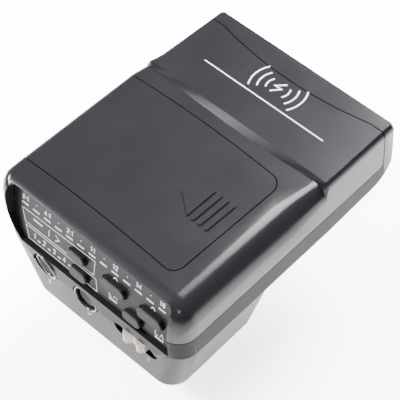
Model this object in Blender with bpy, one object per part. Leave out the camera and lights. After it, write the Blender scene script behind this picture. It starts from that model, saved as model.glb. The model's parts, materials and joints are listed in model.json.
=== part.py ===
"""Wireless flash trigger: an on-camera infrared transmitter that clamps into a hot shoe.

Frame: +Z up, origin at the centre of the shoe foot's underside. The infrared window faces -Y
and the control panel faces +Y. Sizes below are millimetres and become metres in to_metres().
"""
import math

import bmesh
import bpy
from mathutils import Matrix, Vector

MM = 0.001

# Overall form
FRONT_Y, REAR_Y = -55.5, 22.5
HALF_WIDTH, FLARE = 30.83, 0.029        # half width at the foot, and its growth per mm towards the rear
LEFT_SLAB_EXTRA = 0.42                  # the left wall stands a little further out beside the slab
LEFT_DECK_HALF = 32.2                   # and swells out to the battery cover behind the ramp
LEFT_SWELL_Y = (-34.0, -25.0)
LEFT_TAPER, TAPER_Z = 2.0, 39.6         # below this height the left wall leans inwards
TOP_Z, FLAT_Z = 51.0, 49.8              # raised front slab, and the lower battery deck behind it
RAMP_TOP_Y, RAMP_FOOT_Y = -30.2, -28.5  # the slope between the two
SPLIT_Z = 38.8                          # parting line between the covers
SIDE_Z = 32.6                           # lower edge of the side walls
CHAMFER = 4.6                           # 45 degree chamfer under the side walls
NECK_Z = 14.7                           # underside of the neck that carries the foot
WALL = 1.8
GAP = 0.3                               # clearance between neighbouring pieces
SEAM = 0.15                             # half of the visible seam between outer covers

SLAB_SHOULDER = (2.4, 55.0)             # side fillet of the slab: radius, and degrees of arc kept
LEFT_SHOULDER = (2.5, 90.0)             # the deck's fillet on the left
RIGHT_SHOULDER = (6.4, 90.0)            # and on the right, where it starts smaller at the ramp
RIGHT_SHOULDER_START, RIGHT_SHOULDER_FULL_Y = 4.4, -17.0
RAMP_BOW, RAMP_BOW_REACH = 1.0, 28.0    # the ramp bows rearwards in the middle
REAR_FILLET = 6.4
REAR_CORNERS = {"right": 5.4, "left": 6.0}
FRONT_EDGE = 1.0
CHIN_RADIUS = 7.8
CHIN_Z = 34.0                           # lower edge of the side wall just behind the chin
CHIN_BLEND = 25.0
CHIN_SLOPE = 12.0
REAR_WALL = 4.8                         # thick frame round the control panel
ARC_STEPS = 6
TOP_STEPS = 8

# Front cover seam: a shallow arc across the top
SEAM_SIDE_Y, SEAM_RADIUS, SEAM_ARC_HALF = -51.3, 113.0, 24.6
SEAM_CORNER = 1.2

# Neck
NECK_FRONT_Y, NECK_TAPER_FRONT, NECK_TAPER_SIDE, NECK_TAPER_REAR = -10.2, 1.6, 5.2, 1.2
NECK_CORNERS = (3.0, 5.2)
NECK_LEFT_INSET = 0.8                   # the neck's left side stands further in than its right
NECK_STEP = 0.15
NECK_OVERLAP_Z = 34.8

# Battery cover and its bay
COVER_RIGHT_X, COVER_FRONT_Y, COVER_REAR_Y = -20.9, -24.2, 13.0
COVER_FRONT_BOW, COVER_REAR_BOW = 0.8, 0.9
COVER_REAR_R, COVER_FRONT_R = 3.0, 4.0
COVER_LIP_Z = 40.55                     # the cover wraps down over the left side to here
OUTSIDE = 45.0                          # beyond every outer wall
HINGE_INSET, HINGE_Z, HINGE_PIN_R = 0.55, 39.8, 0.45
HINGE_Y = (-22.0, 11.0)
ARROW_TIP_X, ARROW_BASE_X, ARROW_HALF, ARROW_Y = -4.5, -11.0, 4.9, -6.1
ARROW_RIBS_X = (-13.2, -15.4, -17.6)
RIB_WIDTH, RIB_HEIGHT = 0.9, 0.4

# Control panel: a plate that leans forward inside its recess
RECESS_HALF, RECESS_TOP_Z, RECESS_FRONT_Y = 27.0, 48.9, 15.9
RECESS_LEFT = ((23.6, 32.7), (25.6, 34.6), (27.6, 38.2), (28.6, 42.5))
RECESS_CORNER = 2.2
LEDGE_Z = 32.7
PANEL_FOOT_Y, PANEL_LEAN = 21.4, math.radians(12.3)
PANEL_THICK = 1.6
PANEL_HEIGHT, PANEL_FOOT_GAP = 16.2, 0.5
BUTTON_RISE, BUTTON_TAIL = 1.3, 1.8
BUTTONS = {                             # across (+X), up the panel, length, height
    "ratio_button": (5.3, 7.4, 6.0, 2.7),
    "channel_button": (4.0, 2.6, 6.0, 2.7),
    "ratio_down_button": (-7.3, 6.8, 8.2, 3.0),
    "ratio_up_button": (-19.8, 6.5, 8.2, 3.0),
    "sync_button": (-14.4, 2.0, 6.0, 2.6),
}
BOARD_DROP, BOARD_THICK, BOARD_HEIGHT = 3.9, 1.0, 12.4
SWITCH_DROP, SWITCH_SIZE = 2.7, (2.2, 0.9)

# Lower rear face
ROUND_CONTROLS = {"test_button": (16.0, 28.4), "confirmation_lamp": (1.8, 28.1)}
ROUND_OUTER_R, ROUND_INNER_R, ROUND_SINK = 4.2, 3.0, 0.9
SLOT_X, SLOT_Z, SLOT_LENGTH, SLOT_HEIGHT = -15.2, 27.1, 14.6, 4.6
KNOB_X, KNOB_LENGTH, KNOB_HEIGHT, KNOB_RISE = -14.9, 7.2, 3.4, 1.6

# Shoe foot and its lock
FOOT_W, FOOT_L, FOOT_THICK = 18.6, 18.0, 2.0
STEM_W, STEM_L, STEM_TOP = 12.4, 15.4, 4.6
POST_R, POST_TOP = 6.0, 16.2
RING_R, RING_BORE, RING_Z, RING_THICK, RING_TEETH = 13.5, 6.4, 5.0, 4.5, 28
BASE_W, BASE_L, BASE_Z = 31.0, 24.0, 9.8
PIN_Y, PIN_R = -6.9, 0.9
CONTACTS = ((0.0, 0.0, 1.25), (-4.4, 3.8, 0.9), (4.4, 3.8, 0.9), (-4.4, -3.6, 0.9), (4.4, -3.6, 0.9))

# Battery
BATTERY = (44.6, 33.2, 16.3)
BATTERY_CENTRE = (3.0, -5.7)
BATTERY_Z = 31.2
TRAY_WALL, TRAY_GAP, TRAY_LEFT_Z = 1.0, 0.45, 42.0

# infrared window
WINDOW_HALF, WINDOW_LOW_Z, WINDOW_HIGH_Z, WINDOW_BULGE = 26.6, 35.4, 49.0, 1.0

COLOURS = {
    "black_plastic": ((0.022, 0.022, 0.024), 0.36, 0.0),
    "panel_plastic": ((0.03, 0.03, 0.032), 0.42, 0.0),
    "button_rubber": ((0.02, 0.02, 0.021), 0.55, 0.0),
    "infrared_window": ((0.03, 0.002, 0.003), 0.08, 0.0),
    "clear_lens": ((0.35, 0.36, 0.38), 0.12, 0.0),
    "cream_plastic": ((0.55, 0.5, 0.42), 0.4, 0.0),
    "steel": ((0.55, 0.55, 0.56), 0.3, 1.0),
    "gold_contact": ((0.75, 0.52, 0.2), 0.28, 1.0),
    "board": ((0.02, 0.13, 0.05), 0.45, 0.0),
    "battery": ((0.05, 0.07, 0.11), 0.4, 0.0),
    "reflector": ((0.8, 0.8, 0.8), 0.1, 1.0),
    "component": ((0.08, 0.08, 0.09), 0.4, 0.0),
    "copper": ((0.6, 0.28, 0.14), 0.35, 1.0),
}


# ---------------------------------------------------------------- helpers

def clear_scene():
    for item in list(bpy.data.objects):
        bpy.data.objects.remove(item, do_unlink=True)


def make_collection(name):
    collection = bpy.data.collections.new(name)
    bpy.context.scene.collection.children.link(collection)
    return collection


def make_material(name):
    colour, roughness, metallic = COLOURS[name]
    material = bpy.data.materials.new(name)
    material.use_nodes = True
    shader = material.node_tree.nodes["Principled BSDF"]
    shader.inputs["Base Color"].default_value = (*colour, 1.0)
    shader.inputs["Roughness"].default_value = roughness
    shader.inputs["Metallic"].default_value = metallic
    material.diffuse_color = (*colour, 1.0)
    return material


def finish_mesh(name, bm, collection, material=None):
    """Turns a millimetre bmesh into an object in metres."""
    bmesh.ops.scale(bm, vec=(MM, MM, MM), verts=bm.verts)
    bmesh.ops.recalc_face_normals(bm, faces=bm.faces)
    mesh = bpy.data.meshes.new(name)
    bm.to_mesh(mesh)
    bm.free()
    obj = bpy.data.objects.new(name, mesh)
    collection.objects.link(obj)
    if material is not None:
        mesh.materials.append(MATERIALS[material])
    return obj


def part(name, bm, material):
    return finish_mesh(name, bm, PARTS, material)


def cutter(name, bm):
    obj = finish_mesh(name, bm, CUTTERS)
    obj.hide_render = True
    obj.display_type = "WIRE"
    return obj


def boolean(obj, tool, operation):
    modifier = obj.modifiers.new(tool.name, "BOOLEAN")
    modifier.operation = operation
    modifier.solver = "EXACT"
    modifier.object = tool


def pivot(obj, point):
    """Moves an object's origin to a point (mm) without moving its mesh in the world."""
    place = Vector(point) * MM
    obj.data.transform(Matrix.Translation(-place))
    obj.location = place


def box_mesh(low, high, bevel=0.0, segments=2):
    bm = bmesh.new()
    bmesh.ops.create_cube(bm, size=1.0)
    size = [high[i] - low[i] for i in range(3)]
    centre = [(high[i] + low[i]) / 2 for i in range(3)]
    bmesh.ops.scale(bm, vec=size, verts=bm.verts)
    bmesh.ops.translate(bm, vec=centre, verts=bm.verts)
    if bevel:
        bmesh.ops.bevel(bm, geom=list(bm.edges), offset=bevel, segments=segments, affect="EDGES", profile=0.5)
    return bm


def cylinder_mesh(centre, radius, length, axis="Z", segments=24, top_radius=None):
    bm = bmesh.new()
    top = radius if top_radius is None else top_radius
    bmesh.ops.create_cone(bm, cap_ends=True, segments=segments, radius1=radius, radius2=top, depth=length)
    turns = {"X": Matrix.Rotation(math.pi / 2, 4, "Y"), "Y": Matrix.Rotation(-math.pi / 2, 4, "X"), "Z": Matrix()}
    bmesh.ops.transform(bm, matrix=Matrix.Translation(centre) @ turns[axis], verts=bm.verts)
    return bm


def loft_mesh(rings):
    """Skins a stack of rings with equal point counts and caps both ends."""
    bm = bmesh.new()
    rows = [[bm.verts.new(point) for point in ring] for ring in rings]
    count = len(rows[0])
    for lower, upper in zip(rows, rows[1:]):
        for i in range(count):
            j = (i + 1) % count
            bm.faces.new((lower[i], lower[j], upper[j], upper[i]))
    bm.faces.new(rows[0][::-1])
    bm.faces.new(rows[-1])
    return bm


def prism_mesh(outline, low, high):
    """A plan outline (x, y) extruded from z = low to z = high."""
    return loft_mesh([[(x, y, z) for x, y in outline] for z in (low, high)])


def arc(centre, radius, start, end, steps):
    """Points on an arc, angles in degrees."""
    points = []
    for i in range(steps + 1):
        angle = math.radians(start + (end - start) * i / steps)
        points.append((centre[0] + radius * math.cos(angle), centre[1] + radius * math.sin(angle)))
    return points


def obround(length, height, steps=8):
    """Outline of a slot lying along its first axis, centred on the origin."""
    radius = height / 2
    reach = length / 2 - radius
    return arc((reach, 0), radius, -90, 90, steps) + arc((-reach, 0), radius, 90, 270, steps)


def rounding(distance, radius):
    """How far a rounded edge has fallen away at this distance from the end."""
    if distance >= radius:
        return 0.0
    return radius - math.sqrt(max(0.0, radius ** 2 - (radius - distance) ** 2))


def panel_matrix(across=0.0, up=0.0, out=0.0):
    """Frame on the leaning panel: X along the case, Y up the panel, Z out of it."""
    foot = Vector((0.0, PANEL_FOOT_Y, LEDGE_Z))
    upward = Vector((0.0, -math.sin(PANEL_LEAN), math.cos(PANEL_LEAN)))
    outward = Vector((0.0, math.cos(PANEL_LEAN), math.sin(PANEL_LEAN)))
    place = foot + Vector((across, 0.0, 0.0)) + upward * up + outward * out
    turn = Matrix(((-1.0, 0.0, 0.0), upward, outward)).transposed().to_4x4()
    return Matrix.Translation(place) @ turn


def on_panel(bm, across, up, out=0.0):
    bmesh.ops.transform(bm, matrix=panel_matrix(across, up, out), verts=bm.verts)
    return bm


# ---------------------------------------------------------------- body form

def ramp_share(y):
    """0 on the slab, 1 on the deck, and in between on the ramp."""
    return min(1.0, max(0.0, (y - RAMP_TOP_Y) / (RAMP_FOOT_Y - RAMP_TOP_Y)))


def mix(a, b, share):
    return a + (b - a) * share


def wall(side, y):
    """Half width, shoulder radius and kept degrees of arc for one side of the case at y."""
    share = ramp_share(y)
    slab_half = HALF_WIDTH + FLARE * y
    if side == "left":
        swell = min(1.0, max(0.0, (y - LEFT_SWELL_Y[0]) / (LEFT_SWELL_Y[1] - LEFT_SWELL_Y[0])))
        half = mix(slab_half + LEFT_SLAB_EXTRA, LEFT_DECK_HALF, swell * swell * (3 - 2 * swell))
        deck = LEFT_SHOULDER
    else:
        half = slab_half
        grown = min(1.0, max(0.0, (y - RAMP_FOOT_Y) / (RIGHT_SHOULDER_FULL_Y - RAMP_FOOT_Y)))
        deck = (mix(RIGHT_SHOULDER_START, RIGHT_SHOULDER[0], grown), RIGHT_SHOULDER[1])
    return half, mix(SLAB_SHOULDER[0], deck[0], share), mix(SLAB_SHOULDER[1], deck[1], share)


def side_points(side, y, front, rear, inset):
    """Half of one cross-section as (distance from the middle, z), from the bottom edge up to the top."""
    half, radius, kept = wall(side, y)
    radius = max(0.6, radius - inset)
    half -= inset + rounding(rear - y, max(0.6, REAR_CORNERS[side] - inset)) + rounding(y - front, FRONT_EDGE)
    top = mix(TOP_Z, FLAT_Z, ramp_share(y)) - inset
    top -= rounding(rear - y, max(0.6, REAR_FILLET - inset)) + rounding(y - front, FRONT_EDGE)
    ease = min(1.0, max(0.0, (y - front) / CHIN_BLEND))
    low = mix(CHIN_Z, SIDE_Z, ease) + rounding(y - front, CHIN_RADIUS) + inset
    fall = CHAMFER * max(0.06, min(1.0, (y - front) / CHIN_SLOPE))
    lean = LEFT_TAPER * max(0.0, (TAPER_Z - low) / (TAPER_Z - SIDE_Z)) * ease if side == "left" else 0.0
    lift = math.radians(kept)
    centre_z = top - radius * math.sin(lift)
    upright_z = min(max(TAPER_Z, low + 0.4), centre_z - 0.2)
    points = [(half - lean - fall, low - fall), (half - lean, low), (half, upright_z)]
    for i in range(ARC_STEPS + 1):
        angle = lift * i / ARC_STEPS
        points.append((half - radius + radius * math.cos(angle), centre_z + radius * math.sin(angle)))
    return points


def body_section(y, front, rear, inset):
    """One cross-section of the case; the ramp's sections bow rearwards in the middle of the top."""
    right = [(-x, z) for x, z in side_points("right", y, front, rear, inset)]
    left = side_points("left", y, front, rear, inset)
    (x0, z0), (x1, z1) = right[-1], left[-1]
    middle = [(mix(x0, x1, i / TOP_STEPS), mix(z0, z1, i / TOP_STEPS)) for i in range(1, TOP_STEPS)]
    bowed = RAMP_BOW if RAMP_TOP_Y <= y <= RAMP_FOOT_Y else 0.0
    shift = bowed * (y - RAMP_TOP_Y) / (RAMP_FOOT_Y - RAMP_TOP_Y)
    ring = []
    for x, z in right + middle + left[::-1]:
        on_top = max(0.0, min(1.0, (z - SPLIT_Z) / (FLAT_Z - SPLIT_Z)))
        forward = shift * min(1.0, (x / RAMP_BOW_REACH) ** 2) * on_top
        ring.append((x, y - forward, z))
    return ring


def body_mesh(inset=0.0, rear=REAR_Y):
    """The whole upper case as a loft along Y, from the chin to the rounded rear."""
    front = FRONT_Y + inset
    stations = [front, front + 0.3, front + FRONT_EDGE]
    stations += [front + CHIN_RADIUS * (1 - math.cos(math.radians(a))) for a in (42, 56, 68, 80, 90)]
    stations += [front + CHIN_SLOPE, front + CHIN_BLEND * 0.6]
    stations += [RAMP_TOP_Y, RAMP_FOOT_Y, RIGHT_SHOULDER_FULL_Y, RIGHT_SHOULDER_FULL_Y - 5.5]
    stations += [mix(*LEFT_SWELL_Y, share) for share in (0.0, 0.25, 0.75, 1.0)]
    fillet = max(1.0, REAR_FILLET - inset)
    stations += [rear - fillet * (1 - math.sin(math.radians(a))) for a in (0, 15, 30, 45, 60, 75, 90)]
    stations = sorted(set(round(y, 4) for y in stations))
    return loft_mesh([body_section(y, front, rear, inset) for y in stations])


def neck_outline(height_share, inset):
    """Rounded plan outline of the neck; height_share is 0 at the case and 1 at the underside."""
    front = NECK_FRONT_Y + NECK_TAPER_FRONT * height_share + inset
    rear = REAR_Y - NECK_STEP - NECK_TAPER_REAR * height_share - inset
    half = HALF_WIDTH - NECK_STEP - NECK_TAPER_SIDE * height_share - inset
    front_half, rear_half = half + FLARE * front, half + FLARE * rear
    left_half = LEFT_DECK_HALF - LEFT_TAPER + half - HALF_WIDTH - NECK_LEFT_INSET * height_share
    front_r, rear_r = (max(0.8, r - inset) for r in NECK_CORNERS)
    outline = arc((left_half - front_r, front + front_r), front_r, -90, 0, ARC_STEPS)
    outline += arc((left_half - rear_r, rear - rear_r), rear_r, 0, 90, ARC_STEPS)
    outline += arc((-(rear_half - rear_r), rear - rear_r), rear_r, 90, 180, ARC_STEPS)
    outline += arc((-(front_half - front_r), front + front_r), front_r, 180, 270, ARC_STEPS)
    return outline


def neck_mesh(inset=0.0, floor=0.0):
    low = NECK_Z + floor
    share = 1.0 - floor / (SIDE_Z - NECK_Z)
    rings = [[(x, y, low) for x, y in neck_outline(share, inset)]]
    rings.append([(x, y, SIDE_Z) for x, y in neck_outline(0.0, inset)])
    rings.append([(x, y, NECK_OVERLAP_Z) for x, y in neck_outline(0.0, inset + 0.25)])
    return loft_mesh(rings)


def split_mesh(shift):
    """Everything above the parting line and behind the front cover's seam."""
    def outline(back):
        points = []
        for i in range(17):
            x = SEAM_ARC_HALF * (i / 8 - 1)
            y = SEAM_SIDE_Y + math.sqrt(SEAM_RADIUS ** 2 - x ** 2) - math.sqrt(SEAM_RADIUS ** 2 - SEAM_ARC_HALF ** 2)
            points.append((x, y + back + shift))
        side = SEAM_SIDE_Y + back + shift
        return [(-OUTSIDE, side)] + points + [(OUTSIDE, side), (OUTSIDE, OUTSIDE), (-OUTSIDE, OUTSIDE)]

    rings = []
    for angle in (0, 22.5, 45, 67.5, 90):
        a = math.radians(angle)
        z = SPLIT_Z + shift + SEAM_CORNER * (1 - math.cos(a))
        rings.append([(x, y, z) for x, y in outline(SEAM_CORNER * (1 - math.sin(a)))])
    rings.append([(x, y, TOP_Z + 5) for x, y in outline(0.0)])
    return loft_mesh(rings)


def cover_outline(grow):
    """Plan of the battery cover: open to the left, rounded on the right, with bowed seams."""
    right, rear, front = COVER_RIGHT_X - grow, COVER_REAR_Y + grow, COVER_FRONT_Y - grow
    rear_r, front_r = COVER_REAR_R + grow, COVER_FRONT_R + grow
    shares = [i / 10 for i in range(1, 11)]
    start = right + rear_r
    rear_line = [(mix(start, LEFT_DECK_HALF, t), rear - COVER_REAR_BOW * math.sin(2.6 * t)) for t in shares]
    outline = [(OUTSIDE, rear_line[-1][1])] + rear_line[::-1]
    outline += arc((right + rear_r, rear - rear_r), rear_r, 90, 180, 6)
    outline += arc((right + front_r, front + front_r), front_r, 180, 270, 6)
    start = right + front_r
    outline += [(mix(start, LEFT_DECK_HALF, t), front - COVER_FRONT_BOW * math.sin(math.pi * t)) for t in shares]
    outline.append((OUTSIDE, front))
    return outline


def recess_outline(inset=0.0):
    """The panel recess seen from behind, as (x, z): upright on the right, curving in at the lower left."""
    right, top = -RECESS_HALF + inset, RECESS_TOP_Z - inset
    corner = RECESS_CORNER - inset
    outline = [(right, LEDGE_Z + inset)]
    outline += [(x - inset, z + (inset if z <= LEDGE_Z else 0.0)) for x, z in RECESS_LEFT]
    left = RECESS_LEFT[-1][0] - inset
    outline += arc((left - corner, top - corner), corner, 0, 90, 4)
    outline += arc((right + corner, top - corner), corner, 90, 180, 4)
    return outline


def recess_mesh():
    """Space cut from the rear for the control panel, through the thick rear frame."""
    return loft_mesh([[(x, y, z) for x, z in recess_outline()] for y in (RECESS_FRONT_Y, OUTSIDE)])


# ---------------------------------------------------------------- covers

def build_upper_cover():
    cover = part("upper_cover", body_mesh(), "black_plastic")
    boolean(cover, cutter("upper_hollow", body_mesh(WALL, REAR_Y - REAR_WALL)), "DIFFERENCE")
    boolean(cover, cutter("above_split", split_mesh(SEAM)), "INTERSECT")
    boolean(cover, cutter("cover_opening", prism_mesh(cover_outline(SEAM), SPLIT_Z - 1, TOP_Z + 9)), "DIFFERENCE")
    boolean(cover, cutter("panel_recess", recess_mesh()), "DIFFERENCE")


def build_lower_case():
    case = part("lower_case", body_mesh(), "black_plastic")
    boolean(case, cutter("neck_form", neck_mesh()), "UNION")
    boolean(case, cutter("case_hollow", body_mesh(WALL, REAR_Y - REAR_WALL)), "DIFFERENCE")
    boolean(case, cutter("neck_hollow", neck_mesh(WALL, WALL + 0.6)), "DIFFERENCE")
    boolean(case, cutter("above_split_lower", split_mesh(-SEAM)), "DIFFERENCE")
    boolean(case, bpy.data.objects["panel_recess"], "DIFFERENCE")
    boolean(case, cutter("window_opening", window_opening_mesh()), "DIFFERENCE")
    for name, (x, z) in ROUND_CONTROLS.items():
        sink_y = rear_face_y(z) - ROUND_SINK
        sink = cylinder_mesh((x, sink_y + 2, z), ROUND_OUTER_R, 4, "Y", 28)
        boolean(case, cutter(name + "_sink", sink), "DIFFERENCE")
        bore = cylinder_mesh((x, REAR_Y, z), ROUND_INNER_R + GAP, 14, "Y", 28)
        boolean(case, cutter(name + "_bore", bore), "DIFFERENCE")
    slot = rear_prism(obround(SLOT_LENGTH, SLOT_HEIGHT), SLOT_X, SLOT_Z, REAR_Y - 6, REAR_Y + 4)
    boolean(case, cutter("switch_slot", slot), "DIFFERENCE")
    post = cylinder_mesh((0, 0, NECK_Z), POST_R + GAP, 12, "Z", 28)
    boolean(case, cutter("post_hole", post), "DIFFERENCE")


def rear_prism(outline, x, z, y_in, y_out):
    """An outline in the XZ plane, extruded along Y."""
    return loft_mesh([[(x + u, y, z + v) for u, v in outline] for y in (y_in, y_out)])


def window_opening_mesh():
    low = (-WINDOW_HALF, FRONT_Y - 5, WINDOW_LOW_Z)
    high = (WINDOW_HALF, FRONT_Y + 8.5, WINDOW_HIGH_Z)
    return box_mesh(low, high)


def front_profile(z):
    """Y of the case's front surface at height z, on the chin's rounding."""
    drop = CHIN_Z + CHIN_RADIUS - z
    return FRONT_Y + (rounding(CHIN_RADIUS - drop, CHIN_RADIUS) if drop > 0 else 0.0)


def build_front_window():
    """Infrared window: follows the front face and the chin, and bulges slightly in the middle."""
    half = WINDOW_HALF - GAP
    columns, rows = 12, 8
    low, high = WINDOW_LOW_Z + GAP, WINDOW_HIGH_Z - GAP
    rings = []
    for i in range(columns + 1):
        x = half * (2 * i / columns - 1)
        swell = WINDOW_BULGE * (1 - (x / half) ** 2)
        levels = [low + (high - low) * (j / rows) for j in range(rows + 1)]
        outer = [(x, front_profile(z) - swell, z) for z in levels]
        inner = [(x, front_profile(z) + WALL, z) for z in reversed(levels)]
        rings.append(outer + inner)
    part("front_window", loft_mesh(rings), "infrared_window")


def build_battery_cover():
    cover = part("battery_cover", body_mesh(), "black_plastic")
    boolean(cover, cutter("cover_hollow", body_mesh(WALL)), "DIFFERENCE")
    region = prism_mesh(cover_outline(-SEAM), COVER_LIP_Z, TOP_Z + 9)
    boolean(cover, cutter("cover_region", region), "INTERSECT")
    low, high = FLAT_Z - 1.0, FLAT_Z + RIB_HEIGHT
    tip = (ARROW_TIP_X, ARROW_Y)
    base = [(ARROW_BASE_X, ARROW_Y + ARROW_HALF), (ARROW_BASE_X, ARROW_Y - ARROW_HALF)]
    boolean(cover, cutter("arrow_head", prism_mesh([tip] + base, low, high)), "UNION")
    for i, x in enumerate(ARROW_RIBS_X):
        rib = box_mesh((x, ARROW_Y - ARROW_HALF, low), (x + RIB_WIDTH, ARROW_Y + ARROW_HALF, high))
        boolean(cover, cutter(f"arrow_rib_{i + 1}", rib), "UNION")


def build_cover_hinge():
    """Sliding hinge: a pin under the cover's lip, with its rail just inside the wall."""
    middle = sum(HINGE_Y) / 2
    length = HINGE_Y[1] - HINGE_Y[0]
    x = LEFT_DECK_HALF - HINGE_INSET
    hinge = part("cover_hinge", cylinder_mesh((x, middle, HINGE_Z), HINGE_PIN_R, length, "Y", 16), "steel")
    rail = box_mesh((x - 2.4, HINGE_Y[0] + 1, HINGE_Z - 0.35), (x, HINGE_Y[1] - 1, HINGE_Z + 0.25))
    boolean(hinge, cutter("hinge_rail", rail), "UNION")


# ---------------------------------------------------------------- control panel

def build_control_panel():
    plate = box_mesh((-OUTSIDE, PANEL_FOOT_GAP, -PANEL_THICK), (OUTSIDE, PANEL_HEIGHT, 0))
    panel = part("control_panel", on_panel(plate, 0, 0), "panel_plastic")
    room = loft_mesh([[(x, y, z) for x, z in recess_outline(GAP)] for y in (RECESS_FRONT_Y - 4, OUTSIDE)])
    boolean(panel, cutter("panel_outline", room), "INTERSECT")
    for name, (across, up, length, height) in BUTTONS.items():
        hole = loft_mesh([[(u, v, z) for u, v in obround(length + 2 * GAP, height + 2 * GAP)]
                          for z in (-PANEL_THICK - 2, 2)])
        boolean(panel, cutter(name + "_hole", on_panel(hole, across, up)), "DIFFERENCE")


def build_panel_buttons():
    for name, (across, up, length, height) in BUTTONS.items():
        levels = ((-BUTTON_TAIL, 0.0), (BUTTON_RISE - 0.25, 0.0), (BUTTON_RISE, 0.25))
        rings = [[(u, v, z) for u, v in obround(length - 2 * inset, height - 2 * inset)] for z, inset in levels]
        cap = part(name, on_panel(loft_mesh(rings), across, up), "button_rubber")
        pivot(cap, panel_matrix(across, up).translation)


def build_panel_board():
    half = RECESS_HALF - 4
    low, high = (-half, 0.4, -BOARD_DROP - BOARD_THICK), (half, BOARD_HEIGHT, -BOARD_DROP)
    part("panel_board", on_panel(box_mesh(low, high), 0, 0), "board")
    radius, height = SWITCH_SIZE
    for i, (across, up, length, width) in enumerate(BUTTONS.values()):
        switch = cylinder_mesh((0, 0, -SWITCH_DROP - height / 2), radius * 0.7, height, "Z", 12)
        part(f"key_switch_{i + 1}", on_panel(switch, across, up), "steel")


# ---------------------------------------------------------------- lower rear controls

def rear_face_y(z):
    """Outer rear surface of the neck, which tapers inwards towards the foot."""
    return REAR_Y - NECK_STEP - NECK_TAPER_REAR * (SIDE_Z - z) / (SIDE_Z - NECK_Z)


def build_round_controls():
    """The test button and the confirmation lamp: dished discs in round sinks."""
    for name, (x, z) in ROUND_CONTROLS.items():
        face = rear_face_y(z) - ROUND_SINK + 0.35
        profile = ((face - 4.2, ROUND_INNER_R), (face - 0.25, ROUND_INNER_R), (face, ROUND_INNER_R - 0.25),
                   (face, ROUND_INNER_R - 0.6), (face - 0.35, ROUND_INNER_R * 0.45))
        rings = [[(x + r * math.cos(a), y, z + r * math.sin(a))
                  for a in (2 * math.pi * i / 28 for i in range(28))] for y, r in profile]
        button = part(name, loft_mesh(rings), "clear_lens")
        pivot(button, (x, face, z))


def build_power_switch():
    """Slide switch: a ridged knob in the slot, on a switch body inside."""
    face = rear_face_y(SLOT_Z)
    half, reach = KNOB_LENGTH / 2, KNOB_HEIGHT / 2
    ridges = [(-half, 0.25), (-half * 0.78, 0.9), (-half * 0.62, 1.0), (-half * 0.46, 0.9), (-half * 0.16, 0.3),
              (half * 0.16, 0.3), (half * 0.46, 0.9), (half * 0.62, 1.0), (half * 0.78, 0.9), (half, 0.25)]
    outline = [(KNOB_X + u, face - 0.3 + KNOB_RISE * share) for u, share in ridges]
    outline += [(KNOB_X + half, face - 3.0), (KNOB_X - half, face - 3.0)]
    knob = part("power_switch_knob", prism_mesh(outline, SLOT_Z - reach, SLOT_Z + reach), "cream_plastic")
    pivot(knob, (KNOB_X, face, SLOT_Z))
    low = (SLOT_X - 9, face - 7.0, SLOT_Z - 3.5)
    high = (SLOT_X + 9, face - 3.4, SLOT_Z + 3.5)
    part("slide_switch_body", box_mesh(low, high, 0.3, 1), "component")


# ---------------------------------------------------------------- shoe foot

def build_shoe():
    low, high = (-FOOT_W / 2, -FOOT_L / 2, 0), (FOOT_W / 2, FOOT_L / 2, FOOT_THICK)
    foot = part("shoe_foot", box_mesh(low, high, 0.3, 1), "steel")
    stem = box_mesh((-STEM_W / 2, -STEM_L / 2, FOOT_THICK - 0.5), (STEM_W / 2, STEM_L / 2, STEM_TOP))
    boolean(foot, cutter("foot_stem", stem), "UNION")
    post_length = POST_TOP - STEM_TOP + 1
    post = cylinder_mesh((0, 0, POST_TOP - post_length / 2), POST_R, post_length, "Z", 28)
    boolean(foot, cutter("foot_post", post), "UNION")
    for i, (x, y, radius) in enumerate(CONTACTS):
        bore = cylinder_mesh((x, y, 2), radius + GAP, 8, "Z", 16)
        boolean(foot, cutter(f"contact_bore_{i + 1}", bore), "DIFFERENCE")
    pin_bore = cylinder_mesh((0, PIN_Y, 2), PIN_R + GAP, 8, "Z", 16)
    boolean(foot, cutter("lock_pin_bore", pin_bore), "DIFFERENCE")


def build_lock_ring():
    outline = []
    for i in range(RING_TEETH * 4):
        angle = 2 * math.pi * (i + 0.5) / (RING_TEETH * 4)
        radius = RING_R if i % 4 < 2 else RING_R - 0.5
        outline.append((radius * math.cos(angle), radius * math.sin(angle)))
    ring = part("shoe_lock_ring", prism_mesh(outline, RING_Z, RING_Z + RING_THICK), "black_plastic")
    bore = cylinder_mesh((0, 0, RING_Z), RING_BORE, 14, "Z", 28)
    boolean(ring, cutter("ring_bore", bore), "DIFFERENCE")


def build_shoe_base():
    low, high = (-BASE_W / 2, -BASE_L / 2 + 3, BASE_Z), (BASE_W / 2, BASE_L / 2 + 3, NECK_Z - GAP)
    base = part("shoe_base", box_mesh(low, high, 0.8, 2), "black_plastic")
    hole = cylinder_mesh((0, 0, BASE_Z), POST_R + GAP, 20, "Z", 28)
    boolean(base, cutter("base_hole", hole), "DIFFERENCE")


def build_shoe_pins():
    lock = part("shoe_lock_pin", cylinder_mesh((0, PIN_Y, 2.2), PIN_R, 4.2, "Z", 16), "steel")
    pivot(lock, (0, PIN_Y, 0.1))
    for i, (x, y, radius) in enumerate(CONTACTS):
        name = "centre_contact" if i == 0 else f"signal_contact_{i}"
        pin = part(name, cylinder_mesh((x, y, 2.2), radius, 4.2, "Z", 16), "gold_contact")
        pivot(pin, (x, y, 0.1))


# ---------------------------------------------------------------- battery

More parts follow.
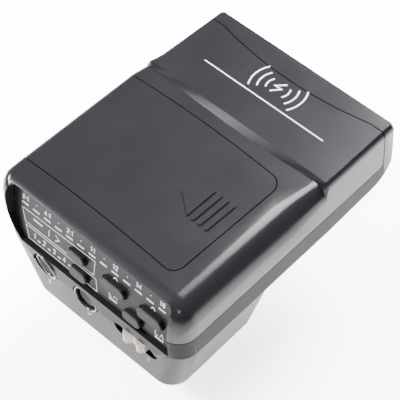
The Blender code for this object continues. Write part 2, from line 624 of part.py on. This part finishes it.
def build_battery_bay():
    length, depth, height = BATTERY
    cx, cy = BATTERY_CENTRE
    inner = (length / 2 + TRAY_GAP, depth / 2 + TRAY_GAP)
    floor = BATTERY_Z - GAP
    low = (cx - inner[0] - TRAY_WALL, cy - inner[1] - TRAY_WALL, floor - TRAY_WALL)
    high = (cx + inner[0] + TRAY_WALL, cy + inner[1] + TRAY_WALL, BATTERY_Z + height)
    tray = part("battery_tray", box_mesh(low, high), "black_plastic")
    room = box_mesh((cx - inner[0], cy - inner[1], floor), (cx + inner[0], cy + inner[1], TOP_Z))
    boolean(tray, cutter("tray_room", room), "DIFFERENCE")
    low_side = box_mesh((cx + inner[0] - 1, -OUTSIDE, TRAY_LEFT_Z), (OUTSIDE, OUTSIDE, TOP_Z))
    boolean(tray, cutter("tray_low_side", low_side), "DIFFERENCE")
    boolean(tray, cutter("tray_envelope", body_mesh(WALL + GAP)), "INTERSECT")


def build_battery_pack():
    """Twin-cell lithium pack: two round cells side by side in one shrink-moulded case."""
    length, depth, height = BATTERY
    cx, cy = BATTERY_CENTRE
    radius = height / 2
    reach = depth / 2 - radius
    outline = arc((cy + reach, BATTERY_Z + radius), radius, -90, 90, 8)
    outline += arc((cy - reach, BATTERY_Z + radius), radius, 90, 270, 8)
    ends = (cx - length / 2 + 1.2, cx + length / 2 - 0.3)
    part("battery_pack", loft_mesh([[(x, y, z) for y, z in outline] for x in ends]), "battery")
    for name, y in (("battery_contact_plus", cy - 7), ("battery_contact_minus", cy + 7)):
        low = (cx - length / 2 + 0.1, y - 2.5, BATTERY_Z + 3)
        high = (cx - length / 2 + 0.7, y + 2.5, BATTERY_Z + 12)
        part(name, box_mesh(low, high), "gold_contact")


# ---------------------------------------------------------------- electronics

def build_front_electronics():
    """Flash tube in its reflector behind the window, focus-assist lamp, capacitor and coils."""
    lamp_y, lamp_z = FRONT_Y + 8.4, 41.8
    reach = 15.0
    trough = arc((lamp_y, lamp_z), 4.6, -60, 60, 8) + arc((lamp_y, lamp_z), 4.1, 60, -60, 8)
    reflector = loft_mesh([[(x, y, z) for y, z in trough] for x in (-reach, reach)])
    part("flash_reflector", reflector, "reflector")
    part("flash_tube", cylinder_mesh((0, lamp_y, lamp_z), 1.6, 2 * reach - 2, "X", 16), "clear_lens")
    part("focus_lamp", cylinder_mesh((20.5, lamp_y, lamp_z - 0.6), 2.5, 7, "Y", 16), "clear_lens")
    part("main_capacitor", cylinder_mesh((-9.0, -35.8, 40.5), 5.6, 26, "X", 24), "component")
    part("step_up_transformer", box_mesh((9.0, -41.5, 33.5), (19.0, -31.0, 43.5), 0.8, 1), "copper")
    part("trigger_coil", cylinder_mesh((23.2, -36.5, 38.0), 2.6, 9, "Y", 16), "component")


def build_main_board():
    low, high = (-20.0, -6.0, 23.6), (20.0, 13.0, 25.0)
    part("main_board", box_mesh(low, high), "board")
    part("control_chip", box_mesh((8.0, -4.0, 25.3), (17.0, 5.0, 26.8), 0.2, 1), "component")
    part("contact_block", cylinder_mesh((0, 0, 19.8), 6.0, 3.4, "Z", 20), "component")


def build_screws():
    """Two screws up through the shoe base, four along the case floor."""
    spots = [("base_screw_1", -12.5, 3, BASE_Z), ("base_screw_2", 12.5, 3, BASE_Z)]
    for name, x, y, z in spots:
        bore = cylinder_mesh((x, y, z), 1.9, 3.0, "Z", 16)
        boolean(bpy.data.objects["shoe_base"], cutter(name + "_sink", bore), "DIFFERENCE")
        part(name, cylinder_mesh((x, y, z + 0.65), 1.5, 1.1, "Z", 16), "steel")
    for i, (x, y) in enumerate(((-19.0, -40.0), (19.0, -40.0), (-19.0, -20.0), (19.0, -20.0))):
        name = f"case_screw_{i + 1}"
        floor = CHIN_Z + (SIDE_Z - CHIN_Z) * min(1.0, (y - FRONT_Y) / CHIN_BLEND) - CHAMFER
        bore = cylinder_mesh((x, y, floor), 1.9, 2.2, "Z", 16)
        boolean(bpy.data.objects["lower_case"], cutter(name + "_sink", bore), "DIFFERENCE")
        part(name, cylinder_mesh((x, y, floor + 0.3), 1.5, 0.9, "Z", 16), "steel")


clear_scene()
PARTS = make_collection("wireless_flash_trigger")
CUTTERS = make_collection("cutters")
MATERIALS = {name: make_material(name) for name in COLOURS}

build_upper_cover()
build_lower_case()
build_front_window()
build_battery_cover()
build_cover_hinge()
build_control_panel()
build_panel_buttons()
build_panel_board()
build_round_controls()
build_power_switch()
build_shoe()
build_lock_ring()
build_shoe_base()
build_shoe_pins()
build_battery_bay()
build_battery_pack()
build_front_electronics()
build_main_board()
build_screws()
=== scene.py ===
import json
import math

import bmesh
import bpy
from mathutils import Matrix, Vector


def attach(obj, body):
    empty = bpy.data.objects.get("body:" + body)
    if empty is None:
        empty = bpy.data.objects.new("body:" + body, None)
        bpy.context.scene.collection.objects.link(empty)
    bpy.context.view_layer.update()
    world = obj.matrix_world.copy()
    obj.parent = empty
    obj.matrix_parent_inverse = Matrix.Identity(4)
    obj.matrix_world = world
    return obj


MM = 0.001

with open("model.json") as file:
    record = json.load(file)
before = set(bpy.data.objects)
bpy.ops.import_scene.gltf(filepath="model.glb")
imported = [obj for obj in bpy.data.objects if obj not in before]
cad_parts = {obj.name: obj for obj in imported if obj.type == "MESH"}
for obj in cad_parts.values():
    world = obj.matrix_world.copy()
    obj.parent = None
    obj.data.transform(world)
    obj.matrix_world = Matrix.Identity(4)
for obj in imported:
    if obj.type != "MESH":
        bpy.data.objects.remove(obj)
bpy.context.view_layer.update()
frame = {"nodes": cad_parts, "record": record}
NODES = frame["nodes"]


# ---------------------------------------------------------------- camera

CAMERA_AT = Vector((-205.7, 177.5, 384.1)) * MM
CAMERA_AIM = Vector((-0.6, -15.5, 34.0)) * MM
CAMERA_ROLL = math.radians(-3.226)
CAMERA_LENS = 162.8


def make_camera():
    """Long lens from behind, right and above, with a small roll."""
    data = bpy.data.cameras.new("camera")
    data.sensor_fit = "HORIZONTAL"
    data.sensor_width = 36.0
    data.lens = CAMERA_LENS
    data.clip_start = 0.01
    data.clip_end = 20.0
    camera = bpy.data.objects.new("camera", data)
    bpy.context.scene.collection.objects.link(camera)
    look = (CAMERA_AIM - CAMERA_AT).normalized()
    right = look.cross(Vector((0, 0, 1))).normalized()
    up = right.cross(look)
    right_rolled = right * math.cos(CAMERA_ROLL) + up * math.sin(CAMERA_ROLL)
    up_rolled = up * math.cos(CAMERA_ROLL) - right * math.sin(CAMERA_ROLL)
    turn = Matrix((right_rolled, up_rolled, -look)).transposed().to_4x4()
    camera.matrix_world = Matrix.Translation(CAMERA_AT) @ turn
    bpy.context.scene.camera = camera


# ---------------------------------------------------------------- materials

def new_material(name):
    material = bpy.data.materials.new(name)
    material.use_nodes = True
    nodes = material.node_tree.nodes
    return material, nodes, material.node_tree.links, nodes["Principled BSDF"]


def textured_plastic(name, colour, roughness, grain_mm=0.35, grain_depth=0.03, blotch=0.04,
                     specular=0.11):
    """Moulded plastic or ink: fine grain as bump, and broad variation in tint and roughness."""
    material, nodes, links, shader = new_material(name)
    shader.inputs["Specular IOR Level"].default_value = specular
    coords = nodes.new("ShaderNodeTexCoord")
    fine = nodes.new("ShaderNodeTexNoise")
    fine.inputs["Scale"].default_value = 1000 / grain_mm
    fine.inputs["Detail"].default_value = 2.0
    links.new(coords.outputs["Object"], fine.inputs["Vector"])
    broad = nodes.new("ShaderNodeTexNoise")
    broad.inputs["Scale"].default_value = 90.0
    broad.inputs["Detail"].default_value = 3.0
    links.new(coords.outputs["Object"], broad.inputs["Vector"])
    rough = nodes.new("ShaderNodeMapRange")
    rough.inputs["To Min"].default_value = roughness - blotch
    rough.inputs["To Max"].default_value = roughness + blotch
    links.new(broad.outputs["Fac"], rough.inputs["Value"])
    links.new(rough.outputs["Result"], shader.inputs["Roughness"])
    tint = nodes.new("ShaderNodeMapRange")
    tint.data_type = "FLOAT_VECTOR"
    tint.inputs[9].default_value = [c * 0.92 for c in colour]
    tint.inputs[10].default_value = [c * 1.08 for c in colour]
    links.new(broad.outputs["Fac"], tint.inputs[6])
    links.new(tint.outputs[1], shader.inputs["Base Color"])
    bump = nodes.new("ShaderNodeBump")
    bump.inputs["Strength"].default_value = 0.6
    bump.inputs["Distance"].default_value = grain_depth * MM
    links.new(fine.outputs["Fac"], bump.inputs["Height"])
    links.new(bump.outputs["Normal"], shader.inputs["Normal"])
    return material


def metal(name, colour, roughness):
    """Plated metal with fine variation in its roughness."""
    material, nodes, links, shader = new_material(name)
    shader.inputs["Metallic"].default_value = 1.0
    shader.inputs["Base Color"].default_value = (*colour, 1.0)
    coords = nodes.new("ShaderNodeTexCoord")
    fine = nodes.new("ShaderNodeTexNoise")
    fine.inputs["Scale"].default_value = 700.0
    links.new(coords.outputs["Object"], fine.inputs["Vector"])
    rough = nodes.new("ShaderNodeMapRange")
    rough.inputs["To Min"].default_value = roughness * 0.7
    rough.inputs["To Max"].default_value = roughness * 1.3
    links.new(fine.outputs["Fac"], rough.inputs["Value"])
    links.new(rough.outputs["Result"], shader.inputs["Roughness"])
    return material


MATERIALS = {
    "black_plastic": textured_plastic("case_black", (0.0055, 0.0055, 0.0066), 0.19),
    "lower_black": textured_plastic("lower_case_black", (0.004, 0.004, 0.0045), 0.3, specular=0.023),
    "round_key": textured_plastic("round_key_grey", (0.012, 0.012, 0.013), 0.3, 0.3, 0.01, specular=0.012),
    "panel_plastic": textured_plastic("panel_black", (0.004, 0.004, 0.0045), 0.3, specular=0.036),
    "button_rubber": textured_plastic("button_black", (0.006, 0.006, 0.006), 0.4, specular=0.05),
    "infrared_window": textured_plastic("window_dark_red", (0.012, 0.0006, 0.001), 0.1, 1.0, 0.002, 0.02, specular=0.12),
    "clear_lens": textured_plastic("lens_grey", (0.014, 0.014, 0.015), 0.2, 1.0, 0.002, 0.02, specular=0.016),
    "cream_plastic": textured_plastic("knob_cream", (0.15, 0.132, 0.108), 0.45),
    "steel": metal("plated_steel", (0.42, 0.42, 0.43), 0.3),
    "gold_contact": metal("gold_contact", (0.8, 0.56, 0.22), 0.25),
    "board": textured_plastic("board_green", (0.008, 0.045, 0.018), 0.4),
    "battery": textured_plastic("battery_wrap", (0.012, 0.016, 0.024), 0.35),
    "reflector": metal("reflector_bright", (0.85, 0.85, 0.85), 0.12),
    "component": textured_plastic("component_black", (0.02, 0.02, 0.022), 0.4),
    "copper": metal("copper_winding", (0.7, 0.35, 0.18), 0.35),
    "bezel": textured_plastic("bezel_black", (0.012, 0.012, 0.013), 0.16, 0.3, 0.003, specular=0.3),
    "slab_ink": textured_plastic("white_slab_ink", (0.34, 0.345, 0.35), 0.5, 0.2, 0.004, 0.06),
    # painted shade: the panel print is a darker copy of the slab's white ink, dimmed for the shade on the rear
    # panel
    "ink": textured_plastic("white_ink_painted_shade", (0.19, 0.193, 0.197), 0.5, 0.2, 0.004, 0.06),
    "indicator": textured_plastic("indicator_grey", (0.17, 0.165, 0.165), 0.35, 0.3, 0.004, 0.05),
}


NOSE_Z = 39.5                            # the lower case's nose strip above here matches the upper cover
NODE_FINISH = {"lower_case": "lower_black", "test_button": "round_key"}


def dress_nodes():
    """Gives each CAD node its finish and smooth shading that keeps the true edges."""
    slots = {entry["node"]: entry["material_slot"] for entry in frame["record"]["subparts"]}
    for name, node in NODES.items():
        material = MATERIALS[NODE_FINISH.get(name, slots[name])]
        node.data.materials.clear()
        node.data.materials.append(material)
        for polygon in node.data.polygons:
            polygon.use_smooth = True
        if name == "lower_case":
            node.data.materials.append(MATERIALS["black_plastic"])
            for polygon in node.data.polygons:
                polygon.material_index = int(polygon.center.z > NOSE_Z * MM)
        node.modifiers.new("weld", "WELD").merge_threshold = 0.002 * MM
        edges = node.modifiers.new("crisp_edges", "EDGE_SPLIT")
        edges.split_angle = math.radians(28)
        even = node.modifiers.new("even_shading", "WEIGHTED_NORMAL")
        even.keep_sharp = True


# ---------------------------------------------------------------- printed marks

PRINT_RISE = 0.03                       # thickness of the printed ink
PANEL_FOOT = Vector((0.0, 21.4, 32.7))
PANEL_LEAN = math.radians(12.3)
DIGITS = {                              # strokes in a box one unit wide and two units high
    "1": (((0.2, 1.55), (0.6, 2.0), (0.6, 0.0)),),
    "2": (((0.0, 1.6), (0.25, 2.0), (0.75, 2.0), (1.0, 1.6), (0.9, 1.15), (0.0, 0.0), (1.0, 0.0)),),
    "3": (((0.0, 1.8), (0.5, 2.0), (0.95, 1.6), (0.5, 1.1), (1.0, 0.55), (0.5, 0.0), (0.0, 0.2)),),
    "4": (((0.75, 0.0), (0.75, 2.0), (0.0, 0.6), (1.05, 0.6)),),
    "8": (((0.5, 1.1), (0.1, 1.5), (0.5, 2.0), (0.9, 1.5), (0.5, 1.1), (0.0, 0.5), (0.5, 0.0), (1.0, 0.5),
           (0.5, 1.1)),),
    ":": (((0.4, 1.45), (0.4, 1.2)), ((0.4, 0.6), (0.4, 0.35))),
}


def panel_place(x, up):
    """Frame on the leaning panel: X to the right as read from behind, Y up the panel, Z out of it."""
    upward = Vector((0.0, -math.sin(PANEL_LEAN), math.cos(PANEL_LEAN)))
    outward = Vector((0.0, math.cos(PANEL_LEAN), math.sin(PANEL_LEAN)))
    turn = Matrix(((-1.0, 0.0, 0.0), upward, outward)).transposed().to_4x4()
    return Matrix.Translation(PANEL_FOOT + Vector((x, 0.0, 0.0)) + upward * up) @ turn


def rear_place(x, z):
    """Frame on the neck's rear wall, read from behind."""
    face = NODES["lower_case"]
    hit, point, normal, _ = face.ray_cast(Vector((x, 60.0, z)) * MM, Vector((0, -1, 0)))
    upward = Vector((0, 0, 1)) - normal * normal.z
    upward.normalize()
    turn = Matrix((upward.cross(normal), upward, normal)).transposed().to_4x4()
    return Matrix.Translation(point / MM) @ turn


def top_place(x, y, z):
    """Frame on a level top face, with X to the right and Y away from the panel."""
    turn = Matrix(((-1.0, 0.0, 0.0), (0.0, -1.0, 0.0), (0.0, 0.0, 1.0))).transposed().to_4x4()
    return Matrix.Translation(Vector((x, y, z))) @ turn


def add_ribbon(bm, points, width, closed=False):
    """A flat ribbon along a polyline in the local plane, with mitred corners, as a thin closed solid."""
    pts = [Vector(p) for p in points]
    count = len(pts)
    sides = []
    for i, p in enumerate(pts):
        before = pts[i - 1] if i > 0 or closed else None
        after = pts[(i + 1) % count] if i < count - 1 or closed else None
        along = [v.normalized() for v in ((p - before) if before else None, (after - p) if after else None) if v]
        mean = sum(along, Vector((0, 0))).normalized()
        across = Vector((-mean.y, mean.x))
        mitre = max(0.5, across.dot(Vector((-along[0].y, along[0].x))))
        sides.append((p + across * width / 2 / mitre, p - across * width / 2 / mitre))
    rows = []
    for left, right in sides:
        rows.append([bm.verts.new((q.x, q.y, z)) for q, z in
                     ((left, -PRINT_RISE), (left, PRINT_RISE), (right, PRINT_RISE), (right, -PRINT_RISE))])
    last = count if closed else count - 1
    for i in range(last):
        a, b = rows[i], rows[(i + 1) % count]
        for k in range(4):
            bm.faces.new((a[k], a[(k + 1) % 4], b[(k + 1) % 4], b[k]))
    if not closed:
        bm.faces.new(rows[0][::-1])
        bm.faces.new(rows[-1])


def add_text(bm, text, x, y, height, width, place):
    """Generic digits and signs, centred on x; the strokes are mapped through the frame."""
    unit = height / 2
    pitch = [unit * (0.75 if c in ":1" else 1.45) for c in text]
    pen = x - sum(pitch) / 2
    for c, step in zip(text, pitch):
        for path in DIGITS[c]:
            stroke(bm, [(pen + u * unit, y + v * unit) for u, v in path], width, place)
        pen += step


def stroke(bm, points, width, place, closed=False):
    known = set(bm.verts)
    add_ribbon(bm, points, width, closed)
    fresh = [v for v in bm.verts if v not in known]
    bmesh.ops.transform(bm, matrix=place, verts=fresh)


def curve_points(centre, radius, start, end, steps=10):
    return [(centre[0] + radius * math.cos(math.radians(start + (end - start) * i / steps)),
             centre[1] + radius * math.sin(math.radians(start + (end - start) * i / steps)))
            for i in range(steps + 1)]


def finish_piece(name, bm, material, body):
    bmesh.ops.recalc_face_normals(bm, faces=bm.faces)
    bmesh.ops.scale(bm, vec=(MM, MM, MM), verts=bm.verts)
    mesh = bpy.data.meshes.new(name)
    bm.to_mesh(mesh)
    bm.free()
    mesh.materials.append(material)
    piece = bpy.data.objects.new(name, mesh)
    bpy.context.scene.collection.objects.link(piece)
    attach(piece, body)
    return piece


LED_X = [24.4 - 3.91 * i for i in range(13)]
RATIOS = {0: "8:1", 2: "4:1", 4: "2:1", 6: "1:1", 8: "1:2", 10: "1:4", 12: "1:8"}


def print_scale():
    """Row of indicator bars with ratio labels over every second one and a dot between."""
    place = panel_place(0, 0)
    bars, labels = bmesh.new(), bmesh.new()
    for i, x in enumerate(LED_X):
        stroke(bars, [(-x - 1.15, 11.0), (-x + 1.15, 11.0)], 0.5, place)
        if i in RATIOS:
            add_text(labels, RATIOS[i], -x, 12.2, 1.35, 0.26, place)
        else:
            stroke(labels, [(-x - 0.15, 12.85), (-x + 0.15, 12.85)], 0.3, place)
    finish_piece("print_indicator_bars", bars, MATERIALS["indicator"], "case")
    finish_piece("print_ratio_labels", labels, MATERIALS["ink"], "case")


def print_boxes():
    """Outlined fields round the ratio and channel buttons, with digits and short bars inside."""
    place = panel_place(0, 0)
    lines = bmesh.new()
    upper = ((-25.3, 9.3), (0.2, 9.8), (0.3, 5.4), (-23.9, 5.4))
    lower = ((-23.6, 4.6), (1.1, 4.6), (1.9, 1.0), (-22.2, 1.0))
    for corners in (upper, lower):
        stroke(lines, corners, 0.17, place, closed=True)
    stroke(lines, [(-21.2, 8.0), (-18.0, 7.9)], 0.45, place)
    stroke(lines, [(-15.6, 8.4), (-15.6, 6.4)], 0.25, place)
    stroke(lines, [(-13.4, 8.4), (-12.0, 7.4), (-13.4, 6.4)], 0.25, place)
    for i, digit in enumerate("1234"):
        add_text(lines, digit, -20.4 + 3.6 * i, 2.1, 1.5, 0.28, place)
        stroke(lines, [(-19.2 + 3.6 * i, 2.2), (-18.2 + 3.6 * i, 2.2)], 0.4, place)
    finish_piece("print_panel_fields", lines, MATERIALS["ink"], "case")


def print_button_symbols():
    """Small bars and arrow marks above the right-hand buttons."""
    place = panel_place(0, 0)
    marks = bmesh.new()
    for x, y in ((5.8, 2.3), (21.4, 1.6)):
        stroke(marks, [(x, y), (x + 2.8, y)], 0.45, place)
    for x in (7.3, 19.8):
        stroke(marks, [(x - 0.7, 9.1), (x, 9.9), (x + 0.7, 9.1)], 0.26, place)
    for x, y in ((5.8, 3.1), (21.4, 2.4)):
        stroke(marks, [(x, y + 1.2), (x, y), (x + 0.9, y)], 0.22, place)
        stroke(marks, [(x + 1.5, y), (x + 2.1, y + 1.2), (x + 2.7, y)], 0.22, place)
    finish_piece("print_button_symbols", marks, MATERIALS["ink"], "case")


def print_rear_symbols():
    """Bolt below the test button, and off and on marks under the switch."""
    marks = bmesh.new()
    bolt = rear_place(16.0, 21.6)
    stroke(marks, [(0.5, 1.2), (-0.5, 0.1), (0.4, 0.1), (-0.5, -1.1)], 0.26, bolt)
    off = rear_place(-11.0, 22.6)
    stroke(marks, curve_points((0, 0), 0.75, 0, 360, 16)[:-1], 0.24, off, closed=True)
    on = rear_place(-19.0, 22.6)
    stroke(marks, [(0, 0.8), (0, -0.8)], 0.26, on)
    lamp = rear_place(1.8, 21.6)
    stroke(marks, [(-0.7, 0.0), (-0.1, -0.7), (0.9, 0.8)], 0.24, lamp)
    finish_piece("print_rear_symbols", marks, MATERIALS["ink"], "case")


def add_bezels():
    """Raised rims round the test button and the lamp, in their sunk seats."""
    profile = ((3.42, -0.75), (3.42, 0.0), (3.52, 0.22), (3.68, 0.3), (3.84, 0.22), (3.94, 0.0), (3.94, -0.75))
    for name, x, z in (("test_bezel", 16.0, 28.4), ("lamp_bezel", 1.8, 28.1)):
        seat = rear_place(x + 5.0, z)
        place = Matrix.Translation(Vector((x, seat.translation.y, z))) @ seat.to_3x3().to_4x4()
        bm = bmesh.new()
        rings = []
        for i in range(48):
            a = 2 * math.pi * i / 48
            rings.append([bm.verts.new((r * math.cos(a), r * math.sin(a), h - 0.35)) for r, h in profile])
        for i, ring in enumerate(rings):
            after = rings[(i + 1) % 48]
            for k in range(len(profile)):
                j = (k + 1) % len(profile)
                bm.faces.new((ring[k], ring[j], after[j], after[k]))
        bmesh.ops.transform(bm, matrix=place, verts=bm.verts)
        piece = finish_piece(name, bm, MATERIALS["bezel"], "case")
        for polygon in piece.data.polygons:
            polygon.use_smooth = True


def print_slab():
    """Thin rule and a plain bolt with wave arcs on the raised slab."""
    marks = bmesh.new()
    rule = top_place(0, -39.4, 51.0)
    stroke(marks, [(-20.1, 0), (19.7, 0)], 0.3, rule)
    sign = top_place(0, -44.8, 51.0)
    stroke(marks, [(1.0, 2.2), (-1.1, 0.15), (0.9, 0.15), (-1.0, -2.0)], 0.5, sign)
    for radius in (3.2, 5.4, 7.6):
        for start in (-32, 148):
            stroke(marks, curve_points((0, 0), radius, start, start + 64), 0.42, sign)
    finish_piece("print_slab_sign", marks, MATERIALS["slab_ink"], "case")


# ---------------------------------------------------------------- surroundings

PAINTED_FLOOR_GLOW = (3.3, 0.8)                 # painted glow of the table: its emission near the object, and far from it
PAINTED_GLOW_FADE = (0.12, 0.30)


def make_floor():
    """Pale table just under the foot, with a painted glow: its emission is strongest round the object and fades
    further out.
    """
    bm = bmesh.new()
    bmesh.ops.create_grid(bm, x_segments=4, y_segments=4, size=1.5)
    mesh = bpy.data.meshes.new("floor")
    bm.to_mesh(mesh)
    bm.free()
    floor = bpy.data.objects.new("floor", mesh)
    bpy.context.scene.collection.objects.link(floor)
    material, nodes, links, shader = new_material("floor_white_painted_glow")
    shader.inputs["Base Color"].default_value = (0.9, 0.9, 0.9, 1)
    shader.inputs["Roughness"].default_value = 0.9
    # painted glow: the table emits light itself, a painted pool of light brightest round the object
    shader.inputs["Emission Color"].default_value = (1.0, 1.0, 1.0, 1.0)
    coords = nodes.new("ShaderNodeTexCoord")
    reach = nodes.new("ShaderNodeVectorMath")
    reach.operation = "LENGTH"
    links.new(coords.outputs["Object"], reach.inputs[0])
    fade = nodes.new("ShaderNodeMapRange")
    fade.interpolation_type = "SMOOTHSTEP"
    fade.inputs["From Min"].default_value, fade.inputs["From Max"].default_value = PAINTED_GLOW_FADE
    fade.inputs["To Min"].default_value, fade.inputs["To Max"].default_value = PAINTED_FLOOR_GLOW
    links.new(reach.outputs["Value"], fade.inputs["Value"])
    links.new(fade.outputs["Result"], shader.inputs["Emission Strength"])
    mesh.materials.append(material)
    floor.location = (0, 0, -0.0002)


def area_light(name, at, aim, size, power):
    """Rectangular softbox at one point, turned to another; all in metres."""
    data = bpy.data.lights.new(name, "AREA")
    data.shape = "RECTANGLE"
    data.size, data.size_y = size
    data.energy = power
    light = bpy.data.objects.new(name, data)
    bpy.context.scene.collection.objects.link(light)
    light.location = at
    aim_vector = Vector(aim) - Vector(at)
    light.rotation_euler = aim_vector.to_track_quat("-Z", "Y").to_euler()


def make_world(strength):
    """Even white light from all round."""
    world = bpy.data.worlds.new("studio")
    world.use_nodes = True
    background = world.node_tree.nodes["Background"]
    background.inputs["Color"].default_value = (1, 1, 1, 1)
    background.inputs["Strength"].default_value = strength
    bpy.context.scene.world = world


make_camera()
dress_nodes()
print_scale()
print_boxes()
print_button_symbols()
print_rear_symbols()
print_slab()
add_bezels()
make_floor()
make_world(0.54)
area_light("softbox_front", (0.10, -0.64, 0.80), (0, -0.02, 0.04), (0.45, 0.55), 86.0)
area_light("strip_rear", (0.38, 0.80, 0.30), (0, 0, 0.04), (0.7, 0.015), 1.7)
area_light("strip_rear_high", (0.38, 0.62, 0.62), (0, 0, 0.04), (0.7, 0.012), 1.0)
area_light("corner_spark", (-0.54, 0.57, 0.62), (-0.03, 0.02, 0.04), (0.03, 0.03), 3.0)
area_light("key_left", (0.75, 0.45, 0.75), (0, 0, 0.02), (0.25, 0.25), 100.0)
